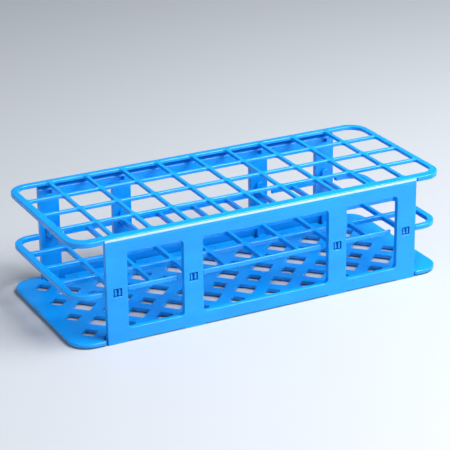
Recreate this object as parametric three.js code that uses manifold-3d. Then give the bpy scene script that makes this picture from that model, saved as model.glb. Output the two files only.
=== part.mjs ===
// A 40-place, three-tier rack for 20 mm test tubes, moulded in blue polypropylene.
// Millimetres, +Z up, +X along the length. The origin is the middle of the footprint,
// on the surface that the feet stand on.
//
// Three tiers lie one above the other: a top grid, a middle grid and a base plate.
// Two side panels are moulded with the top grid and fold down from it on thin film
// hinges. Folded down, they snap over the lugs of the middle grid and the tongues of
// the base plate.

import * as THREE from "three";
import { mergeVertices } from "three/addons/utils/BufferGeometryUtils.js";
import Module from "manifold-3d";

const wasm = await Module();
wasm.setup();

// ---- driving dimensions ---------------------------------------------------

const COLUMNS = 10;
const ROWS = 4;
const PITCH = 24; // from socket to socket, both ways
const LENGTH = 246;
const WIDTH = 104;
const HEIGHT = 66.2;
const CORNER_RADIUS = 12.5;
const SHEET = 3.5; // thickness of a side panel, and height of the top grid's skirt
const BAR_WIDTH = 2.6; // of the bars between the sockets
const BAR_HEIGHT = 2.1;
const SKIRT_WIDTH = 2.2; // the outer strip of the top grid, which hangs lower than its bars
const FOOT_HEIGHT = 0.6;
const GAP = 0.3; // least clearance between two mouldings

const ARC_STEPS = 2; // half the number of straight steps in a quarter circle
const OVERCUT = 2; // how far a cutter runs past the faces it cuts through

// Sockets: square holes with rounded corners, a little narrower in the middle grid.
const SOCKET = PITCH - BAR_WIDTH;
const MIDDLE_SOCKET_WIDTH = SOCKET - 0.6;
const SOCKET_RADIUS = 1.6;
const RACK_CORNER_SOCKET_RADIUS = 8; // where a corner socket follows the corner of its tier

// Folds: the film of each hinge joins the top grid's edge to the panel's edge below it.
const TIER_EDGE = HEIGHT - 1.2;
const PANEL_EDGE = HEIGHT - 2;

// Middle grid.
const MIDDLE_TOP = HEIGHT - 33.3;
const MIDDLE_BOTTOM = MIDDLE_TOP - 3;
const MIDDLE_WIDTH = 100;
const MIDDLE_RIM_HALF = WIDTH / 2 - SHEET - 0.7; // half width between the side panels

// Base plate.
const BASE_BOTTOM = FOOT_HEIGHT + 0.2;
const BASE_TOP = BASE_BOTTOM + 2.4;
const BASE_RIM_HALF = WIDTH / 2 - SHEET - 1.6; // half width between the side panels
const BIG_DIAMOND = 8.3; // half the diagonal of a drain hole between four sockets
const SMALL_DIAMOND = 5.8; // half the diagonal of the drain hole under a socket
const BASE_FOOT_RADIUS = 3;
const BASE_FOOT_X = 112;
const BASE_FOOT_Y = 42;

// Side panels.
const PANEL_HALF = 102.9; // half the length of a panel
const NOTCH_HALF = PANEL_HALF + 1; // half the length of the recess it folds into
const WINDOW_TOP = HEIGHT - 10.1;
const WINDOW_BOTTOM = 8.5;
const INNER_POSTS = { middle: 2 * PITCH, width: 12.4 };
const OUTER_POSTS = { inside: 89.7, outside: PANEL_HALF };
const WINDOW_RADIUS = 2.5;

// Snap joints, one at each of the four posts of a panel. Both lower tiers have upright
// tabs there, each between two relief notches. The middle grid's tabs carry the lugs.
const SNAP_PLACES = [-4, -2, 2, 4].map((k) => k * PITCH);
const TAB = { width: 5.2, rise: 6.6, thickness: 1.7, face: WIDTH / 2 - SHEET - 0.7 };
const MIDDLE_RELIEF = { reach: 8, near: 46.3 };
const BASE_RELIEF = { reach: 6.2, near: 43.4 };
const SLOT = { width: 5.3, height: 5.2, middle: HEIGHT - 34.3 };
const PRONG = { width: 1.2, height: 3.9, apart: 2.5 }; // a lug is two prongs
const LUG_TIP = WIDTH / 2 - 0.2;
const TONGUE = { width: 4.4, height: 1.5, reach: 1.5 };
const RECESS = { width: 3.6, height: 2.6, middle: HEIGHT - 7.4, depth: 2.2 };

// ---- small helpers --------------------------------------------------------

const X_AXIS = new THREE.Vector3(1, 0, 0);
const Y_AXIS = new THREE.Vector3(0, 1, 0);
const Z_AXIS = new THREE.Vector3(0, 0, 1);
const FRONT = 0;
const REAR = Math.PI; // the rear side is the front side turned half way round Z

function solidOf(geometry) {
  geometry.deleteAttribute("normal");
  geometry.deleteAttribute("uv");
  const merged = mergeVertices(geometry, 1e-4);
  const vertProperties = Float32Array.from(merged.attributes.position.array);
  const triVerts = Uint32Array.from(merged.index.array);
  return new wasm.Manifold(new wasm.Mesh({ numProp: 3, vertProperties, triVerts }));
}

function extrude(shapes, depth) {
  const options = { depth, bevelEnabled: false, curveSegments: ARC_STEPS };
  return new THREE.ExtrudeGeometry(shapes, options);
}

// Shapes drawn on (x, y), filled from one height to another.
function slab(shapes, bottom, top) {
  const geometry = extrude(shapes, top - bottom);
  geometry.translate(0, 0, bottom);
  return solidOf(geometry);
}

// Shapes drawn on (x, z), filled between two distances from the middle of the rack.
function wall(shapes, near, far, turn) {
  const geometry = extrude(shapes, far - near);
  const outward = Y_AXIS.clone().negate();
  geometry.applyMatrix4(new THREE.Matrix4().makeBasis(X_AXIS, Z_AXIS, outward));
  geometry.translate(0, -near, 0);
  geometry.rotateZ(turn);
  return solidOf(geometry);
}

// A bar along X whose section is drawn on (y, z) for the front side.
function bar(section, halfLength, turn) {
  const geometry = extrude([section], 2 * halfLength);
  geometry.applyMatrix4(new THREE.Matrix4().makeBasis(Y_AXIS, Z_AXIS, X_AXIS));
  geometry.translate(-halfLength, 0, 0);
  geometry.rotateZ(turn);
  return solidOf(geometry);
}

function polygon(points) {
  return new THREE.Shape(points.map(([x, y]) => new THREE.Vector2(x, y)));
}

function rectangle(left, bottom, right, top) {
  return polygon([[left, bottom], [right, bottom], [right, top], [left, top]]);
}

// radiusAt gives the radius of the corner at (x, y).
function roundedRectangle(left, bottom, right, top, radiusAt) {
  const quarter = Math.PI / 2;
  const shape = new THREE.Shape();
  const round = (x, y, inwardX, inwardY, start) => {
    const radius = radiusAt(x, y);
    shape.absarc(x + inwardX * radius, y + inwardY * radius, radius, start, start + quarter);
  };
  round(right, bottom, -1, 1, -quarter);
  round(right, top, -1, -1, 0);
  round(left, top, 1, -1, quarter);
  round(left, bottom, 1, 1, 2 * quarter);
  shape.closePath();
  return shape;
}

function centredRectangle(length, width, radius) {
  return roundedRectangle(-length / 2, -width / 2, length / 2, width / 2, () => radius);
}

function diamond(x, y, half) {
  return polygon([[x - half, y], [x, y - half], [x + half, y], [x, y + half]]);
}

// The same shape at every crossing of a grid that is centred on the origin.
function gridOf(columns, rows, shapeAt) {
  const shapes = [];
  for (let column = 0; column < columns; column += 1) {
    for (let row = 0; row < rows; row += 1) {
      const x = (column - (columns - 1) / 2) * PITCH;
      const y = (row - (rows - 1) / 2) * PITCH;
      shapes.push(shapeAt(x, y));
    }
  }
  return shapes;
}

function socketRadiusAt(x, y) {
  const pastLastColumn = Math.abs(x) > (COLUMNS / 2) * PITCH - BAR_WIDTH;
  const pastLastRow = Math.abs(y) > (ROWS / 2) * PITCH - BAR_WIDTH;
  return pastLastColumn && pastLastRow ? RACK_CORNER_SOCKET_RADIUS : SOCKET_RADIUS;
}

function sockets(length, width) {
  const halves = [length / 2, width / 2];
  return gridOf(COLUMNS, ROWS, (x, y) =>
    roundedRectangle(x - halves[0], y - halves[1], x + halves[0], y + halves[1], socketRadiusAt));
}

// The recess in a tier's long side that a folded panel stands in.
function panelRecess(half, bottom, top, turn) {
  const outline = rectangle(-NOTCH_HALF, bottom - OVERCUT, NOTCH_HALF, top + OVERCUT);
  return wall([outline], half, WIDTH / 2 + OVERCUT, turn);
}

// ---- the mouldings --------------------------------------------------------

// A flat tier with a socket at each of its places.
function grid(width, socketWidth, bottom, top) {
  return slab([centredRectangle(LENGTH, width, CORNER_RADIUS)], bottom, top)
    .subtract(slab(sockets(SOCKET, socketWidth), bottom - OVERCUT, top + OVERCUT));
}

// The top grid meets each folded panel on a 45 degree mitre, so that the panel can
// swing out flat about the film along their outer edges.
function mitreOfTopGrid(turn) {
  const edge = -WIDTH / 2;
  const reach = SHEET + OVERCUT;
  const section = polygon([
    [edge - OVERCUT, TIER_EDGE + OVERCUT],
    [edge - OVERCUT, TIER_EDGE - reach],
    [edge + reach, TIER_EDGE - reach],
  ]);
  return bar(section, NOTCH_HALF, turn);
}

function topTier() {
  const bottom = HEIGHT - SHEET;
  const insideSkirt = centredRectangle(
    LENGTH - 2 * SKIRT_WIDTH,
    WIDTH - 2 * SKIRT_WIDTH,
    CORNER_RADIUS - SKIRT_WIDTH,
  );
  return grid(WIDTH, SOCKET, bottom, HEIGHT)
    .subtract(slab([insideSkirt], bottom - OVERCUT, HEIGHT - BAR_HEIGHT))
    .subtract(mitreOfTopGrid(FRONT))
    .subtract(mitreOfTopGrid(REAR));
}

// Upright plates with arched tops on the edge of a tier.
function tabs(bottom, top, turn) {
  const radius = TAB.width / 2;
  const shapes = SNAP_PLACES.map((x) => {
    const shape = new THREE.Shape();
    shape.moveTo(x - radius, bottom);
    shape.lineTo(x + radius, bottom);
    shape.absarc(x, top + TAB.rise - radius, radius, 0, Math.PI);
    shape.closePath();
    return shape;
  });
  return wall(shapes, TAB.face - TAB.thickness, TAB.face, turn);
}

// Notches on both sides of each tab that let it bend.
function reliefs({ reach, near }, bottom, top, turn) {
  const shapes = SNAP_PLACES.flatMap((x) => [
    rectangle(x - reach, bottom - OVERCUT, x - TAB.width / 2, top + OVERCUT),
    rectangle(x + TAB.width / 2, bottom - OVERCUT, x + reach, top + OVERCUT),
  ]);
  return wall(shapes, near, WIDTH / 2 + OVERCUT, turn);
}

function prongShapes(x) {
  const low = SLOT.middle - PRONG.height / 2;
  const high = SLOT.middle + PRONG.height / 2;
  return [-1, 1].map((side) => {
    const middle = x + (side * PRONG.apart) / 2;
    return rectangle(middle - PRONG.width / 2, low, middle + PRONG.width / 2, high);
  });
}

function lugs(turn) {
  return wall(SNAP_PLACES.flatMap(prongShapes), TAB.face - TAB.thickness / 2, LUG_TIP, turn);
}

// Between the side panels the middle grid's rim is narrow, and it is open beside each tab.
function middleTier() {
  const cutSide = (solid, turn) =>
    solid
      .subtract(panelRecess(MIDDLE_RIM_HALF, MIDDLE_BOTTOM, MIDDLE_TOP, turn))
      .subtract(reliefs(MIDDLE_RELIEF, MIDDLE_BOTTOM, MIDDLE_TOP, turn))
      .add(tabs(MIDDLE_BOTTOM, MIDDLE_TOP, turn))
      .add(lugs(turn));
  const plain = grid(MIDDLE_WIDTH, MIDDLE_SOCKET_WIDTH, MIDDLE_BOTTOM, MIDDLE_TOP);
  return [FRONT, REAR].reduce(cutSide, plain);
}

function tongues(turn) {
  const bottom = (BASE_BOTTOM + BASE_TOP - TONGUE.height) / 2;
  const shapes = SNAP_PLACES.map((x) =>
    rectangle(x - TONGUE.width / 2, bottom, x + TONGUE.width / 2, bottom + TONGUE.height));
  const tip = WIDTH / 2 - SHEET + TONGUE.reach;
  return wall(shapes, TAB.face - TAB.thickness / 2, tip, turn);
}

function baseFeet() {
  const shapes = [];
  for (const x of [-BASE_FOOT_X, BASE_FOOT_X]) {
    for (const y of [-BASE_FOOT_Y, BASE_FOOT_Y]) {
      shapes.push(new THREE.Shape().absarc(x, y, BASE_FOOT_RADIUS, 0, 2 * Math.PI));
    }
  }
  return slab(shapes, 0, (BASE_BOTTOM + BASE_TOP) / 2);
}

function baseTier() {
  const betweenSockets = gridOf(COLUMNS - 1, ROWS - 1, (x, y) => diamond(x, y, BIG_DIAMOND));
  const underSockets = gridOf(COLUMNS, ROWS, (x, y) => diamond(x, y, SMALL_DIAMOND));
  const holes = [...betweenSockets, ...underSockets];
  const plate = slab([centredRectangle(LENGTH, WIDTH, CORNER_RADIUS)], BASE_BOTTOM, BASE_TOP)
    .subtract(slab(holes, BASE_BOTTOM - OVERCUT, BASE_TOP + OVERCUT));
  const cutSide = (solid, turn) =>
    solid
      .subtract(panelRecess(BASE_RIM_HALF, BASE_BOTTOM, BASE_TOP, turn))
      .subtract(reliefs(BASE_RELIEF, BASE_BOTTOM, BASE_TOP, turn))
      .add(tabs(BASE_BOTTOM, BASE_TOP, turn))
      .add(tongues(turn));
  return [FRONT, REAR].reduce(cutSide, plate).add(baseFeet());
}

// The four posts of a panel, from left to right, as [left, right].
function posts() {
  const { middle, width } = INNER_POSTS;
  const { inside, outside } = OUTER_POSTS;
  return [
    [-outside, -inside],
    [-middle - width / 2, -middle + width / 2],
    [middle - width / 2, middle + width / 2],
    [inside, outside],
  ];
}

// Each post stands on a low foot, so the bottom edge steps up between the posts.
function panelOutline() {
  const bottomEdge = posts().flatMap(([left, right]) => [
    [left, FOOT_HEIGHT],
    [left, 0],
    [right, 0],
    [right, FOOT_HEIGHT],
  ]);
  const withoutEnds = bottomEdge.slice(1, -1);
  return polygon([...withoutEnds, [PANEL_HALF, PANEL_EDGE], [-PANEL_HALF, PANEL_EDGE]]);
}

function panelWindows() {
  const places = posts();
  return [0, 1, 2].map((k) => {
    const left = places[k][1];
    const right = places[k + 1][0];
    return roundedRectangle(left, WINDOW_BOTTOM, right, WINDOW_TOP, () => WINDOW_RADIUS);
  });
}

function slotShape(x) {
  const half = SLOT.width / 2;
  return rectangle(x - half, SLOT.middle - SLOT.height / 2, x + half, SLOT.middle + SLOT.height / 2);
}

// A shallow pocket in the inner face that takes a tongue of the base plate.
function pocketShape(x) {
  const half = TONGUE.width / 2 + GAP;
  const bottom = (BASE_BOTTOM + BASE_TOP - TONGUE.height) / 2;
  return rectangle(x - half, bottom - GAP, x + half, bottom + TONGUE.height + 2 * GAP);
}

// A small recess in the inner face of each post, just under the top grid.
function recessShape(x) {
  const half = RECESS.width / 2;
  const low = RECESS.middle - RECESS.height / 2;
  return rectangle(x - half, low, x + half, low + RECESS.height);
}

function mitreOfPanel(turn) {
  const edge = -WIDTH / 2;
  const reach = SHEET + OVERCUT;
  const section = polygon([
    [edge - OVERCUT, PANEL_EDGE + OVERCUT],
    [edge + reach, PANEL_EDGE - reach],
    [edge + reach, PANEL_EDGE + OVERCUT],
  ]);
  return bar(section, PANEL_HALF + OVERCUT, turn);
}

function sidePanel(turn) {
  const inner = WIDTH / 2 - SHEET;
  const outer = WIDTH / 2;
  const through = [...panelWindows(), ...SNAP_PLACES.map(slotShape)];
  const pocketFloor = inner + TONGUE.reach + GAP;
  return wall([panelOutline()], inner, outer, turn)
    .subtract(wall(through, inner - OVERCUT, outer + OVERCUT, turn))
    .subtract(wall(SNAP_PLACES.map(pocketShape), inner - OVERCUT, pocketFloor, turn))
    .subtract(wall(SNAP_PLACES.map(recessShape), inner - OVERCUT, inner + RECESS.depth, turn))
    .subtract(mitreOfPanel(turn));
}

// ---- the rack -------------------------------------------------------------

const polypropylene = new THREE.MeshStandardMaterial({
  color: 0x0a84d8,
  roughness: 0.42,
  metalness: 0,
});

function meshOf(name, solid) {
  const { vertProperties, triVerts } = solid.getMesh();
  const geometry = new THREE.BufferGeometry();
  geometry.setAttribute("position", new THREE.BufferAttribute(vertProperties, 3));
  geometry.setIndex(new THREE.BufferAttribute(triVerts, 1));
  geometry.computeVertexNormals();
  const mesh = new THREE.Mesh(geometry, polypropylene.clone());
  mesh.name = name;
  return mesh;
}

const rack = new THREE.Group();
rack.add(meshOf("top_tier", topTier()));
rack.add(meshOf("middle_tier", middleTier()));
rack.add(meshOf("base_tier", baseTier()));
rack.add(meshOf("front_panel", sidePanel(FRONT)));
rack.add(meshOf("rear_panel", sidePanel(REAR)));

export default rack;
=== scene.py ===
"""The looks of a 40-place, three-tier test tube rack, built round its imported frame.

Each moulding of the rack is one closed mesh with rounded edges that replaces its plain
CAD node. The mesh code works in millimetres; MM turns them into the frame's metres.
"""

import math

import bmesh
import bpy
from mathutils import Euler, Matrix, Vector
from mathutils.geometry import delaunay_2d_cdt


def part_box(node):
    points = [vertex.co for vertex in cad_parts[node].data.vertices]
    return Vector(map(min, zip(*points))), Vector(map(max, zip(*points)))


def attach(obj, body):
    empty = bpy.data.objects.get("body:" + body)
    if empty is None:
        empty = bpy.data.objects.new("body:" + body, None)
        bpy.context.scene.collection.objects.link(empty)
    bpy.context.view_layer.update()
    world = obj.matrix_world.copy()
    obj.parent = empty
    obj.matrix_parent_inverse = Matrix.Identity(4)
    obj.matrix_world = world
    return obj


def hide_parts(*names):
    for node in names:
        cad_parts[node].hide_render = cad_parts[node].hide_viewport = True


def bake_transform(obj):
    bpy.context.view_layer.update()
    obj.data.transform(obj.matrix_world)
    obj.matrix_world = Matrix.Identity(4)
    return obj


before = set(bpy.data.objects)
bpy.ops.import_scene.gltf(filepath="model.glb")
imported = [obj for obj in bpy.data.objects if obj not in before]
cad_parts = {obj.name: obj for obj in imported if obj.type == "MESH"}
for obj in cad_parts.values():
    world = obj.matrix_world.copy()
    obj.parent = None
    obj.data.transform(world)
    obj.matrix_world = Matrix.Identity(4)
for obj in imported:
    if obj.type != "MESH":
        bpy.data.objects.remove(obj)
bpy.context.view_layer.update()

MM = 0.001

# ---- sizes, from the frame ----------------------------------------------------

COLUMNS = 10
ROWS = 4
END_RIM = 3  # from the end of a tier to the outer line of the socket grid


def millimetres(node):
    """The lowest and highest corners of a CAD node."""
    low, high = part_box(node)
    return low / MM, high / MM


top_low, top_high = millimetres("top_tier")
middle_low, middle_high = millimetres("middle_tier")
base_high = millimetres("base_tier")[1]
panel_low, panel_high = millimetres("front_panel")

LENGTH = top_high.x - top_low.x
WIDTH = top_high.y - top_low.y
HEIGHT = top_high.z
PITCH = (LENGTH - 2 * END_RIM) / COLUMNS
CORNER_RADIUS = 12.5
SOCKET_RADIUS = 1.6
OUTER_SOCKET_RADIUS = 8
BAR_WIDTH = 2.6
BAR_HEIGHT = 2.1
SOCKET = PITCH - BAR_WIDTH
MIDDLE_SOCKET_WIDTH = SOCKET - 0.6

SHEET = panel_high.y - panel_low.y
PANEL_INNER = WIDTH / 2 - SHEET
PANEL_HALF = panel_high.x
PANEL_EDGE = panel_high.z
NOTCH_HALF = PANEL_HALF + 1
FOOT_HEIGHT = 0.6
WINDOW_TOP = HEIGHT - 10.1
WINDOW_BOTTOM = 8.5
WINDOW_RADIUS = 2.5
INNER_POST = 12.4
OUTER_POST = 13.2

SNAP_PLACES = [k * PITCH for k in (-4, -2, 2, 4)]
TAB_WIDTH = 5.2
TAB_FACE = PANEL_INNER - 0.7
TAB_THICKNESS = 1.7
TAB_RISE = 6.6  # above the upper face of its tier
TAB_ROOT = 0.2  # from the lower face of its tier to the lower end of a tab
SLOT_SIZE = (5.3, 5.2)
SLOT_MIDDLE = HEIGHT - 34.3
PRONG = (1.2, 3.9)  # width and height of one of the two prongs of a lug
PRONG_APART = 2.5

MIDDLE_TOP = middle_high.z - TAB_RISE
MIDDLE_THICKNESS = MIDDLE_TOP - middle_low.z
MIDDLE_HALF = 50
BASE_TOP = base_high.z - TAB_RISE
BASE_THICKNESS = 2.4
BASE_HALF = PANEL_INNER - 1.6
BASE_NOTCH_HALF = 6.2  # the plate is cut back this far on both sides of a tab
BASE_NOTCH_DEPTH = 3.5
BIG_DIAMOND = 8.3  # from the middle of a drain hole to its point
SMALL_DIAMOND = 5.8
DIAMOND_RADIUS = 0.9
FOOT_RADIUS = 3
FOOT_PLACES = [(x, y) for x in (-112, 112) for y in (-42, 42)]

# Blind holes in the inner face of a panel, as (width, height, depth), and the height of
# their middles: a small recess under the rim, and a pocket for each tongue of the base.
RECESS = (3.6, 2.6, 2.2)
RECESS_MIDDLE = HEIGHT - 7.4
POCKET = (5.2, 2.4, 1.8)
TONGUE = (4.4, 1.5, 1.5)  # width, height, and reach into the panel
BASE_MIDDLE = BASE_TOP - BASE_THICKNESS / 2
POCKET_MIDDLE = BASE_MIDDLE + 0.15

# How far each kind of edge is rounded over, at its upper or outer face and at the other one.
TOP_BAR_EDGES = (0.6, 0.35)
MIDDLE_BAR_EDGES = (0.6, 0.4)
BASE_EDGES = (0.5, 0.4)
DRAIN_EDGES = (0.4, 0.3)
TAB_EDGES = (0.35, 0.35)
PEG_EDGES = (0.3, 0.1)  # the prongs and the tongues
FOOT_EDGES = (0.1, 0.4)
WINDOW_EDGES = (0.3, 0.4)
SLOT_EDGES = (0.25, 0.25)

# Corner radii of the outlines.
TIER_CORNER = 0.9  # where the long edge of a lower tier changes its width
RIM_END = 0.65  # the cut ends of the middle grid's rim
BLOCK_CORNER = 0.4  # tabs, slots and tongues
PRONG_CORNER = 0.35
POCKET_CORNER = 0.5

# Steps in a quarter turn of an outline.
COARSE = 3
FINE = 8
RIM_STEPS = 14

FRONT = Matrix.Identity(4)
REAR = Matrix.Rotation(math.pi, 4, "Z")

# ---- outlines -------------------------------------------------------------------


def outline(corners, steps=6):
    """A closed line round corners given as (x, y, radius), with the material on its left.

    It returns points with their outward normals, so that a point moved back along its
    normal lies inside the material."""
    points = []
    count = len(corners)
    for k, (x, y, radius) in enumerate(corners):
        corner = Vector((x, y))
        arrive = (corner - Vector(corners[k - 1][:2])).normalized()
        leave = (Vector(corners[(k + 1) % count][:2]) - corner).normalized()
        turn = math.atan2(arrive.cross(leave), arrive.dot(leave))
        outward = Vector((arrive.y, -arrive.x))
        if abs(turn) < 1e-6:
            points.append((corner, outward))
            continue
        bulge = math.copysign(radius, turn)
        centre = corner - arrive * radius * math.tan(abs(turn) / 2) - outward * bulge
        parts = max(2, math.ceil(steps * abs(turn) / (math.pi / 2)))
        for part in range(parts + 1):
            angle = turn * part / parts
            normal = Matrix.Rotation(angle, 2) @ outward
            points.append((centre + normal * bulge, normal))
    return points


def box_corners(left, bottom, right, top, radius):
    return [(left, bottom, radius), (right, bottom, radius), (right, top, radius), (left, top, radius)]


def hole(corners, steps=6):
    """The edge of a hole. Its corners run the other way, so that the material is outside."""
    return outline(corners[::-1], steps)


def box_hole(x, y, length, width, radius):
    return hole(box_corners(x - length / 2, y - width / 2, x + length / 2, y + width / 2, radius))


def follow_rack(corners):
    """A socket's corner that lies at a corner of the rack is as round as the rack."""
    last_column = COLUMNS / 2 * PITCH - BAR_WIDTH
    last_row = ROWS / 2 * PITCH - BAR_WIDTH
    return [(x, y, OUTER_SOCKET_RADIUS if abs(x) > last_column and abs(y) > last_row else radius)
            for x, y, radius in corners]


def socket_hole(x, y, width):
    corners = box_corners(x - SOCKET / 2, y - width / 2, x + SOCKET / 2, y + width / 2, SOCKET_RADIUS)
    return hole(follow_rack(corners), FINE)


def diamond_hole(x, y, half):
    points = [(x - half, y), (x, y - half), (x + half, y), (x, y + half)]
    return hole([(u, v, DIAMOND_RADIUS) for u, v in points], COARSE)


def grid_places(columns, rows):
    """The crossings of a grid that is centred on the rack."""
    for column in range(columns):
        for row in range(rows):
            yield (column - (columns - 1) / 2) * PITCH, (row - (rows - 1) / 2) * PITCH


# ---- profiles -------------------------------------------------------------------


def round_over(radius, steps=3):
    """A quarter round from a face to its wall, as (distance into the face, distance down the wall)."""
    quarter = math.pi / 2 / steps
    return [(radius * (1 - math.sin(k * quarter)), radius * (1 - math.cos(k * quarter)))
            for k in range(steps + 1)]


def edge_profile(top, bottom, top_radius, bottom_radius):
    """The section of a plain edge from the upper face to the lower one, as (inset, level)."""
    upper = [(inset, top - drop) for inset, drop in round_over(top_radius)]
    lower = [(inset, bottom + rise) for inset, rise in round_over(bottom_radius)]
    return upper + lower[::-1]


def columns_of(points, profile):
    """One column of (u, v, w) points under each point of an outline."""
    return [[(*(point - normal * inset), level) for inset, level in profile] for point, normal in points]


# ---- meshes ---------------------------------------------------------------------


INSIDE_EDGES = 1  # delaunay_2d_cdt's choice of output: triangles inside the outer edge


class Moulding:
    """A closed mesh in the making. u and v lie in the plane of its sheet, and w stands on it."""

    def __init__(self):
        self.points = []
        self.faces = []

    def wall(self, columns):
        """Faces between neighbouring columns. Returns the first and the last ring of points."""
        start, height, count = len(self.points), len(columns[0]), len(columns)
        for column in columns:
            self.points.extend(Vector(point) for point in column)
        for k in range(count):
            here, after = start + k * height, start + ((k + 1) % count) * height
            for level in range(height - 1):
                self.faces.append((here + level, here + level + 1, after + level + 1, after + level))
        first = [start + k * height for k in range(count)]
        return first, [index + height - 1 for index in first]

    def cap(self, rings, faces_up):
        """Fills a flat face between the rings: the outer edge first, then its holes.

        Every hole is convex, so a triangle whose corners all lie on one hole is inside it."""
        indices = [index for ring in rings for index in ring]
        ring_of = {index: k for k, ring in enumerate(rings) for index in ring}
        flat = [self.points[index].to_2d() for index in indices]
        edges, start = [], 0
        for ring in rings:
            count = len(ring)
            edges.extend((start + k, start + (k + 1) % count) for k in range(count))
            start += count
        _, _, triangles, sources, _, _ = delaunay_2d_cdt(flat, edges, [], INSIDE_EDGES, 1e-6)
        for triangle in triangles:
            corners = [indices[sources[k][0]] for k in triangle]
            touched = {ring_of[index] for index in corners}
            if len(touched) > 1 or 0 in touched:
                self.faces.append(corners if faces_up else corners[::-1])

    def plate(self, outer, holes, outer_profile, hole_profile):
        """A sheet with holes right through it."""
        rims = [self.wall(columns_of(outer, outer_profile))]
        rims += [self.wall(columns_of(points, hole_profile)) for points in holes]
        self.cap([first for first, last in rims], True)
        self.cap([last for first, last in rims], False)

    def mesh(self, name, place):
        mesh = bpy.data.meshes.new(name)
        mesh.from_pydata([place @ point * MM for point in self.points], [], self.faces)
        mesh.validate()
        return mesh


# Where a moulding's (u, v, w) lie in the rack. Flat tiers keep them. A side wall has u
# along the rack, v up and w outward.
FLAT = Matrix.Identity(4)
UPRIGHT = Matrix(((1, 0, 0, 0), (0, 0, -1, 0), (0, 1, 0, 0), (0, 0, 0, 1)))


def add_object(name, mesh):
    thing = bpy.data.objects.new(name, mesh)
    bpy.context.scene.collection.objects.link(thing)
    return thing


STEEP = math.radians(38)  # faces that meet at a steeper angle than this have a crisp line between them
SAME_PLANE = math.radians(0.5)


def flat_areas(shape):
    """For each face, the area of the whole flat region that it belongs to, in square millimetres."""
    areas = {}
    for seed in shape.faces:
        if seed.index in areas:
            continue
        region, unvisited = {seed.index: seed}, [seed]
        while unvisited:
            for edge in unvisited.pop().edges:
                for other in edge.link_faces:
                    if other.index not in region and other.normal.dot(seed.normal) > math.cos(SAME_PLANE):
                        region[other.index] = other
                        unvisited.append(other)
        total = sum(face.calc_area() for face in region.values()) / MM ** 2
        areas.update({index: total for index in region})
    return areas


def finish_surface(mesh):
    """Shades rounded edges smoothly and keeps flat faces flat: the largest flat face sets the normal."""
    shape = bmesh.new()
    shape.from_mesh(mesh)
    bmesh.ops.remove_doubles(shape, verts=shape.verts, dist=1e-6)
    bmesh.ops.dissolve_degenerate(shape, edges=shape.edges, dist=1e-6)
    shape.normal_update()
    shape.faces.index_update()
    areas = flat_areas(shape)
    for edge in shape.edges:
        edge.smooth = edge.calc_face_angle(0) < STEEP
    normals = []
    for face in shape.faces:
        face.smooth = True
        for corner in face.loops:
            near = [other for other in corner.vert.link_faces
                    if other.normal.dot(face.normal) > math.cos(STEEP)]
            total = sum((other.normal * areas[other.index] ** 2 for other in near), Vector())
            normals.append(total.normalized() if total.length > 0 else face.normal.copy())
    shape.to_mesh(mesh)
    shape.free()
    mesh.normals_split_custom_set(normals)


def united(name, mouldings):
    """One closed mesh from mouldings given as (moulding, place): the first, with the rest joined on."""
    first, *rest = [add_object(f"{name}.{k}", moulding.mesh(name, place))
                    for k, (moulding, place) in enumerate(mouldings)]
    if rest:
        bpy.ops.object.select_all(action="DESELECT")
        for thing in rest:
            thing.select_set(True)
        bpy.context.view_layer.objects.active = rest[0]
        if len(rest) > 1:
            bpy.ops.object.join()
        joiner = first.modifiers.new("join", "BOOLEAN")
        joiner.operation = "UNION"
        joiner.solver = "EXACT"
        joiner.use_self = True
        joiner.object = rest[0]
        graph = bpy.context.evaluated_depsgraph_get()
        mesh = bpy.data.meshes.new_from_object(first.evaluated_get(graph))
        first.modifiers.clear()
        first.data = mesh
        bpy.data.objects.remove(rest[0])
    first.name = name
    first.data.name = name
    finish_surface(first.data)
    return first


# ---- the top grid ---------------------------------------------------------------

# The rim's section from its upper face to its lower one, as (inset, depth): first the
# shoulder that both share, then the skirt, or the mitred lip over a fold.
RIM_SHOULDER = [(2.9, 0), (2.65, 0.05), (2.4, 0.16), (0.6, 0.34), (0.3, 0.42), (0.08, 0.6), (0, 0.85)]
RIM_SKIRT = [(0, 3.1), (0.12, 3.38), (0.4, 3.5), (1.9, 3.5), (2.12, 3.42), (2.2, 3.2)]
RIM_LIP = [(0, 1.05), (0.1, 1.25), (0.25, 1.4), (1.85, 3.0), (2.05, 3.12), (2.2, 3.05)]
RIM_INSIDE = [(2.2, 2.4), (2.28, 2.2), (2.5, BAR_HEIGHT)]


def rim_column(point, normal):
    over_fold = abs(point.y) > WIDTH / 2 - 0.1 and abs(point.x) < NOTCH_HALF + 0.01
    section = RIM_SHOULDER + (RIM_LIP if over_fold else RIM_SKIRT) + RIM_INSIDE
    return [(*(point - normal * inset), -depth) for inset, depth in section]


def rim_corners(step=0.05):
    """The corners of the top grid, with a pair of points at each end of both folds."""
    x, y = LENGTH / 2, WIDTH / 2
    ends = [-NOTCH_HALF - step, -NOTCH_HALF, NOTCH_HALF, NOTCH_HALF + step]
    front = [(end, -y, 0) for end in ends]
    rear = [(end, y, 0) for end in ends[::-1]]
    return [(-x, -y, CORNER_RADIUS), *front, (x, -y, CORNER_RADIUS),
            (x, y, CORNER_RADIUS), *rear, (-x, y, CORNER_RADIUS)]


def top_tier():
    grid = Moulding()
    rims = [grid.wall([rim_column(*point) for point in outline(rim_corners(), RIM_STEPS)])]
    bars = edge_profile(0, -BAR_HEIGHT, *TOP_BAR_EDGES)
    for x, y in grid_places(COLUMNS, ROWS):
        rims.append(grid.wall(columns_of(socket_hole(x, y, SOCKET), bars)))
    grid.cap([first for first, last in rims], True)
    grid.cap([last for first, last in rims], False)
    return united("top_grid", [(grid, Matrix.Translation((0, 0, HEIGHT)))])


# ---- snap tabs, for both lower tiers --------------------------------------------


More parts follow.
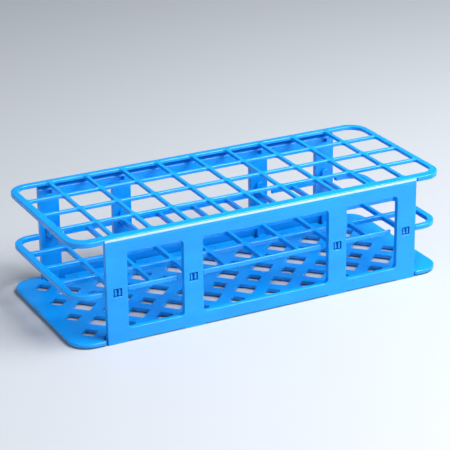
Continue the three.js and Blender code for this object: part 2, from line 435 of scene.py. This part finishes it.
def tab(x, bottom, top):
    """An upright plate with an arched top. It leans on nothing."""
    half = TAB_WIDTH / 2
    plate = Moulding()
    arch = outline([(x - half, bottom, BLOCK_CORNER), (x + half, bottom, BLOCK_CORNER),
                    (x + half, top, half - 0.01), (x - half, top, half - 0.01)], FINE)
    plate.plate(arch, [], edge_profile(TAB_FACE, TAB_FACE - TAB_THICKNESS, *TAB_EDGES), [])
    return plate


def prongs(x):
    """The two prongs of a lug, each with a bevelled tip."""
    width, height = PRONG
    pair = []
    for side in (-1, 1):
        prong = Moulding()
        middle = x + side * PRONG_APART / 2
        section = outline(box_corners(middle - width / 2, SLOT_MIDDLE - height / 2,
                                      middle + width / 2, SLOT_MIDDLE + height / 2, PRONG_CORNER),
                          COARSE)
        near, tip = TAB_FACE - TAB_THICKNESS / 2, WIDTH / 2 - 0.3
        prong.plate(section, [], edge_profile(tip, near, *PEG_EDGES), [])
        pair.append(prong)
    return pair


# ---- the middle grid ------------------------------------------------------------

RELIEF = 8  # from the middle of a tab to the end of the rim beside it


def open_snap(x, edge, inner):
    """The middle grid's edge at one snap place, from left to right on the front side.

    The rim stops short of the tab on both sides, so the edge runs in and round each
    neighbouring socket before it comes out again."""
    half_bar, half_tab, neck = BAR_WIDTH / 2, TAB_WIDTH / 2, 0.35
    far = -inner + MIDDLE_SOCKET_WIDTH
    left = [
        (x - RELIEF, -edge, RIM_END),
        (x - RELIEF, -inner, RIM_END),
        (x - half_bar - SOCKET, -inner, SOCKET_RADIUS),
        (x - half_bar - SOCKET, far, SOCKET_RADIUS),
        (x - half_bar, far, SOCKET_RADIUS),
        (x - half_bar, -inner + neck, 0.6),
        (x - half_tab, -inner + neck, RIM_END),
        (x - half_tab, -edge, RIM_END),
    ]
    right = [(2 * x - u, v, radius) for u, v, radius in left[::-1]]
    return follow_rack(left + right)


def middle_tier():
    edge = TAB_FACE
    inner = ROWS / 2 * PITCH - (PITCH - MIDDLE_SOCKET_WIDTH) / 2
    side = [corner for x in SNAP_PLACES for corner in open_snap(x, edge, inner)]
    reach = SNAP_PLACES[-1] + RELIEF  # past the outer snaps the rim runs straight out to its full width
    side = [(-reach, -MIDDLE_HALF, TIER_CORNER)] + side[1:-1] + [(reach, -MIDDLE_HALF, TIER_CORNER)]
    end = [(LENGTH / 2, -MIDDLE_HALF, CORNER_RADIUS), (LENGTH / 2, MIDDLE_HALF, CORNER_RADIUS)]
    half = side + end
    corners = half + [(-u, -v, radius) for u, v, radius in half]
    sockets = []
    for x, y in grid_places(COLUMNS, ROWS):
        beside_snap = any(abs(abs(x - place) - PITCH / 2) < 0.1 for place in SNAP_PLACES)
        if not (beside_snap and abs(y) > PITCH):
            sockets.append(socket_hole(x, y, MIDDLE_SOCKET_WIDTH))
    grid = Moulding()
    section = edge_profile(0, -MIDDLE_THICKNESS, *MIDDLE_BAR_EDGES)
    grid.plate(outline(corners), sockets, section, section)
    parts = [(grid, Matrix.Translation((0, 0, MIDDLE_TOP)))]
    for turn in (FRONT, REAR):
        for x in SNAP_PLACES:
            upright = tab(x, MIDDLE_TOP - MIDDLE_THICKNESS + TAB_ROOT, MIDDLE_TOP + TAB_RISE)
            parts.append((upright, turn @ UPRIGHT))
            parts += [(prong, turn @ UPRIGHT) for prong in prongs(x)]
    return united("middle_grid", parts)


# ---- the base plate -------------------------------------------------------------


def base_tier():
    half_tab = TAB_WIDTH / 2
    side = [(-NOTCH_HALF, -WIDTH / 2, TIER_CORNER), (-NOTCH_HALF, -BASE_HALF, TIER_CORNER)]
    for x in SNAP_PLACES:
        left = [
            (x - BASE_NOTCH_HALF, -BASE_HALF, 0.55),
            (x - BASE_NOTCH_HALF, -BASE_HALF + BASE_NOTCH_DEPTH, 0.8),
            (x - half_tab, -BASE_HALF + BASE_NOTCH_DEPTH, 0.8),
            (x - half_tab, -TAB_FACE, 0.55),
        ]
        side += left + [(2 * x - u, v, radius) for u, v, radius in left[::-1]]
    side += [(NOTCH_HALF, -BASE_HALF, TIER_CORNER), (NOTCH_HALF, -WIDTH / 2, TIER_CORNER)]
    half = side + [(LENGTH / 2, -WIDTH / 2, CORNER_RADIUS), (LENGTH / 2, WIDTH / 2, CORNER_RADIUS)]
    corners = half + [(-u, -v, radius) for u, v, radius in half]
    holes = [diamond_hole(x, y, BIG_DIAMOND) for x, y in grid_places(COLUMNS - 1, ROWS - 1)]
    holes += [diamond_hole(x, y, SMALL_DIAMOND) for x, y in grid_places(COLUMNS, ROWS)]
    plate = Moulding()
    section = edge_profile(0, -BASE_THICKNESS, *BASE_EDGES)
    plate.plate(outline(corners), holes, section, edge_profile(0, -BASE_THICKNESS, *DRAIN_EDGES))
    parts = [(plate, Matrix.Translation((0, 0, BASE_TOP)))]
    for turn in (FRONT, REAR):
        for x in SNAP_PLACES:
            upright = tab(x, BASE_TOP - BASE_THICKNESS + TAB_ROOT, BASE_TOP + TAB_RISE)
            parts.append((upright, turn @ UPRIGHT))
            parts.append((tongue(x), turn @ UPRIGHT))
    parts += [(foot(x, y), FLAT) for x, y in FOOT_PLACES]
    return united("base_plate", parts)


def tongue(x):
    """A short bar on a tab's outer face that sits in a pocket of the side panel."""
    width, height, reach = TONGUE
    bar = Moulding()
    section = outline(box_corners(x - width / 2, BASE_MIDDLE - height / 2,
                                  x + width / 2, BASE_MIDDLE + height / 2, BLOCK_CORNER), COARSE)
    bar.plate(section, [], edge_profile(PANEL_INNER + reach, TAB_FACE - TAB_THICKNESS / 2, *PEG_EDGES), [])
    return bar


def foot(x, y):
    """A low round foot under a corner."""
    disc = Moulding()
    square = box_corners(x - FOOT_RADIUS, y - FOOT_RADIUS, x + FOOT_RADIUS, y + FOOT_RADIUS,
                         FOOT_RADIUS - 0.01)
    disc.plate(outline(square, FINE), [], edge_profile(BASE_MIDDLE, 0, *FOOT_EDGES), [])
    return disc


# ---- the side panels ------------------------------------------------------------

# A panel's edge from its outer face to its inner one: the plain edge as (inset, level),
# and how far each of those points drops under the fold, with a shallow step and the mitre.
PANEL_SECTION = [(0.28, 3.5), (0.14, 3.46), (0.04, 3.36), (0, 3.22),
                 (0, 2.8), (0, 0.28), (0.08, 0.08), (0.28, 0)]
FOLD_DROPS = [2.1, 1.85, 1.72, 0.62, 0.5, 3.1, 3.3, 3.6]


def panel_column(point, normal):
    """The two upper corners follow the fold downward and the plain edge sideways."""
    if point.y < PANEL_EDGE - 1:
        return [(*(point - normal * inset), level) for inset, level in PANEL_SECTION]
    inward = -math.copysign(1, point.x)
    return [(point.x + inward * inset, PANEL_EDGE - drop, level)
            for (inset, level), drop in zip(PANEL_SECTION, FOLD_DROPS)]


def post_edges():
    """The four posts from left to right, as (left, right)."""
    inner = SNAP_PLACES[2]
    right = [(inner - INNER_POST / 2, inner + INNER_POST / 2), (PANEL_HALF - OUTER_POST, PANEL_HALF)]
    return [(-b, -a) for a, b in right[::-1]] + right


def panel_outline():
    """Each post stands on a low foot, so the lower edge steps up between the posts."""
    bottom = []
    for left, right in post_edges():
        bottom += [(left, FOOT_HEIGHT, 0.29), (left, 0, 0.29), (right, 0, 0.29), (right, FOOT_HEIGHT, 0.29)]
    lower = outline(bottom[1:-1] + [(PANEL_HALF, PANEL_EDGE, 0.25), (-PANEL_HALF, PANEL_EDGE, 0.25)], 3)
    upper_corners = [(Vector((PANEL_HALF, PANEL_EDGE)), None), (Vector((-PANEL_HALF, PANEL_EDGE)), None)]
    points = [pair for pair in lower if pair[0].y < PANEL_EDGE - 1]
    last = max(range(len(points)), key=lambda k: (points[k][0].x, points[k][0].y))
    return points[:last + 1] + upper_corners + points[last + 1:]


def blind_hole(panel, x, z, width, height, depth):
    """A pocket in the inner face. Returns its mouth, for the inner face's cap."""
    section = [(0.3, 0), (0.09, 0.09), (0, 0.3), (0, depth - 0.2), (-0.2, depth)]
    corners = box_corners(x - width / 2, z - height / 2, x + width / 2, z + height / 2, POCKET_CORNER)
    edge = outline(corners[::-1], COARSE)
    columns = [[(*(point - normal * inset), level) for inset, level in section] for point, normal in edge]
    columns = [column[::-1] for column in columns]
    first, last = panel.wall(columns)
    panel.cap([first], False)
    return last


def side_panel(name, turn):
    panel = Moulding()
    rims = [panel.wall([panel_column(*point) for point in panel_outline()])]
    edges = post_edges()
    through = []
    for (_, left), (right, _) in zip(edges, edges[1:]):
        through.append(hole(box_corners(left, WINDOW_BOTTOM, right, WINDOW_TOP, WINDOW_RADIUS)))
    window_section = edge_profile(SHEET, 0, *WINDOW_EDGES)
    rims += [panel.wall(columns_of(points, window_section)) for points in through]
    slot_section = edge_profile(SHEET, 0, *SLOT_EDGES)
    for x in SNAP_PLACES:
        rims.append(panel.wall(columns_of(box_hole(x, SLOT_MIDDLE, *SLOT_SIZE, BLOCK_CORNER), slot_section)))
    mouths = [blind_hole(panel, x, RECESS_MIDDLE, *RECESS) for x in SNAP_PLACES]
    mouths += [blind_hole(panel, x, POCKET_MIDDLE, *POCKET) for x in SNAP_PLACES]
    panel.cap([first for first, last in rims], True)
    panel.cap([last for first, last in rims] + mouths, False)
    stand = Matrix.Translation((0, -PANEL_INNER, 0)) @ UPRIGHT
    return united(name, [(panel, turn @ stand)])


# ---- the film hinges ------------------------------------------------------------


# The outer line of the film over a fold, as (inset, depth) from the rack's side and top.
FILM_LINE = [(0.12, 0.7), (0, 1.1), (0, 1.3), (0, 1.5), (0.01, 1.7), (0.04, 1.9), (0.1, 2.15),
             (0.2, 2.4), (0.34, 2.75)]
FILM_THICKNESS = 0.45


def film_hinge(name, turn):
    """The thin web that joins the top grid's lip to a side panel, drawn thin by folding. Its paler colour is
    partly stress whitening from the fold and partly a painted highlight along the fold.
    """
    outer = [(WIDTH / 2 - inset, HEIGHT - depth) for inset, depth in FILM_LINE]
    inner = [(y - FILM_THICKNESS, z - 0.1) for y, z in outer[::-1]]
    web = Moulding()
    half = PANEL_HALF - 0.1
    ends = [[(-half, y, z), (half, y, z)] for y, z in outer + inner]
    first, last = web.wall(ends)
    web.faces.append(first)
    web.faces.append(last[::-1])
    return united(name, [(web, turn @ Matrix.Diagonal((1, -1, 1, 1)))])


# ---- materials ------------------------------------------------------------------


def polypropylene(name, colour, deep, whiten_and_highlight=0.0):
    """Moulded polypropylene: a little translucent, with faint flow marks and a satin skin."""
    material = bpy.data.materials.new(name)
    material.use_nodes = True
    nodes, links = material.node_tree.nodes, material.node_tree.links
    nodes.clear()
    output = nodes.new("ShaderNodeOutputMaterial")
    shader = nodes.new("ShaderNodeBsdfPrincipled")
    links.new(shader.outputs["BSDF"], output.inputs["Surface"])
    shader.inputs["Subsurface Weight"].default_value = 0.35
    shader.inputs["Subsurface Radius"].default_value = (0.25, 0.7, 1.0)
    shader.inputs["Subsurface Scale"].default_value = 0.0016
    shader.inputs["IOR"].default_value = 1.49
    shader.inputs["Specular IOR Level"].default_value = 0.45
    where = nodes.new("ShaderNodeTexCoord")

    def noise(scale, detail, stretch=(1, 1, 1)):
        mapping = nodes.new("ShaderNodeMapping")
        mapping.inputs["Scale"].default_value = stretch
        links.new(where.outputs["Object"], mapping.inputs["Vector"])
        texture = nodes.new("ShaderNodeTexNoise")
        texture.inputs["Scale"].default_value = scale
        texture.inputs["Detail"].default_value = detail
        links.new(mapping.outputs["Vector"], texture.inputs["Vector"])
        return texture.outputs["Fac"]

    def ramp(value, low, high, first, second):
        between = nodes.new("ShaderNodeValToRGB")
        between.color_ramp.elements[0].position = low
        between.color_ramp.elements[0].color = first
        between.color_ramp.elements[1].position = high
        between.color_ramp.elements[1].color = second
        links.new(value, between.inputs["Fac"])
        return between.outputs["Color"]

    def to_range(value, low, high):
        scaled = nodes.new("ShaderNodeMapRange")
        scaled.inputs["To Min"].default_value = low
        scaled.inputs["To Max"].default_value = high
        links.new(value, scaled.inputs["Value"])
        return scaled.outputs["Result"]

    # Slow drift of the pigment along the flow of the melt.
    tinted = ramp(noise(28, 4, (1, 1, 3)), 0.3, 0.7, (*deep, 1), (*colour, 1))
    # Optional white streaks for the film hinge. They are partly stress whitening and partly a painted
    # highlight that stands in for the light caught along the fold.
    if whiten_and_highlight:
        craze_and_highlight = to_range(noise(900, 3, (0.15, 1, 1)), whiten_and_highlight - 0.25, whiten_and_highlight + 0.1)
        white = nodes.new("ShaderNodeMix")
        white.data_type = "RGBA"
        white.inputs["B"].default_value = (0.72, 0.93, 1.0, 1)
        links.new(craze_and_highlight, white.inputs["Factor"])
        links.new(tinted, white.inputs["A"])
        tinted = white.outputs["Result"]
    links.new(tinted, shader.inputs["Base Color"])

    # Gloss that wanders, slow waves in the skin, and a very fine moulded grain.
    links.new(to_range(noise(60, 5), 0.16, 0.32), shader.inputs["Roughness"])
    waves = nodes.new("ShaderNodeBump")
    waves.inputs["Strength"].default_value = 0.25
    waves.inputs["Distance"].default_value = 0.0004
    links.new(noise(90, 2, (1, 1, 2)), waves.inputs["Height"])
    grain = nodes.new("ShaderNodeBump")
    grain.inputs["Strength"].default_value = 0.12
    grain.inputs["Distance"].default_value = 0.00008
    links.new(noise(2200, 3), grain.inputs["Height"])
    links.new(waves.outputs["Normal"], grain.inputs["Normal"])
    links.new(grain.outputs["Normal"], shader.inputs["Normal"])
    return material


def plain_floor():
    material = bpy.data.materials.new("floor")
    material.use_nodes = True
    shader = material.node_tree.nodes["Principled BSDF"]
    shader.inputs["Base Color"].default_value = (0.44, 0.46, 0.49, 1)
    shader.inputs["Roughness"].default_value = 0.6
    return material


# ---- the rack -------------------------------------------------------------------

blue = polypropylene("polypropylene", (0.0015, 0.31, 0.82), (0.001, 0.26, 0.72))
# The film hinge's copy of the plastic is lighter and streaked white. This is partly stress whitening from
# folding and partly a painted highlight for the bright line along the fold.
film_whitened_and_highlit = polypropylene("whitened_and_highlit_polypropylene", (0.05, 0.42, 0.92), (0.03, 0.36, 0.88), whiten_and_highlight=0.8)


def show(piece, body, node, material):
    piece.data.materials.clear()
    piece.data.materials.append(material)
    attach(piece, body)
    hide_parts(node)


show(top_tier(), "tiers", "top_tier", blue)
show(middle_tier(), "tiers", "middle_tier", blue)
show(base_tier(), "tiers", "base_tier", blue)
show(side_panel("front_side_panel", FRONT), "front_side", "front_panel", blue)
show(side_panel("rear_side_panel", REAR), "rear_side", "rear_panel", blue)

for side, turn, body in (("front", FRONT, "front_side"), ("rear", REAR, "rear_side")):
    film = film_hinge(f"{side}_film_hinge", turn)
    film.data.materials.append(film_whitened_and_highlit)
    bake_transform(film)

# ---- studio ---------------------------------------------------------------------


def area_light(name, towards, distance, size, power):
    """A soft square light in that direction from the rack, facing it."""
    light = bpy.data.lights.new(name, "AREA")
    light.shape = "SQUARE"
    light.size = size
    light.energy = power
    lamp = add_object(name, light)
    target = Vector((0, 0, HEIGHT * MM / 2))
    direction = Vector(towards).normalized()
    lamp.location = target + direction * distance
    lamp.rotation_euler = direction.to_track_quat("Z", "Y").to_euler()


def studio():
    floor_mesh = bpy.data.meshes.new("floor")
    reach = 6
    floor_mesh.from_pydata([(-reach, -reach, 0), (reach, -reach, 0), (reach, reach, 0), (-reach, reach, 0)],
                           [], [(0, 1, 2, 3)])
    floor = add_object("floor", floor_mesh)
    floor_mesh.materials.append(plain_floor())
    area_light("overhead", (0.42, -0.38, 0.82), 1.1, 0.8, 28)
    area_light("front", (0.3, -1, 0.3), 1.6, 1.2, 4.5)
    area_light("left", (-1, -0.5, 0.4), 1.2, 1.2, 5)
    world = bpy.data.worlds.new("room")
    bpy.context.scene.world = world
    world.use_nodes = True
    background = world.node_tree.nodes["Background"]
    background.inputs["Color"].default_value = (0.72, 0.86, 1, 1)
    background.inputs["Strength"].default_value = 0.2


def camera():
    """The photograph's view: from the front left, 22 degrees above the level."""
    azimuth, elevation, roll = (math.radians(a) for a in (-26.744, 22.40, -0.655))
    distance = 1137.3
    aim = Vector((-5.8, -9.0, HEIGHT - 25.8))
    back = Vector((math.sin(azimuth) * math.cos(elevation), -math.cos(azimuth) * math.cos(elevation),
                   math.sin(elevation)))
    data = bpy.data.cameras.new("camera")
    data.sensor_width = 36
    data.lens = 150.4
    data.clip_start = 0.05
    data.clip_end = 50
    eye = add_object("camera", data)
    eye.rotation_mode = "QUATERNION"
    eye.rotation_quaternion = back.to_track_quat("Z", "Y") @ Euler((0, 0, roll)).to_quaternion()
    eye.location = (aim + back * distance) * MM
    bpy.context.scene.camera = eye


studio()
camera()
bpy.context.scene.view_settings.view_transform = "Standard"

bpy.context.view_layer.update()
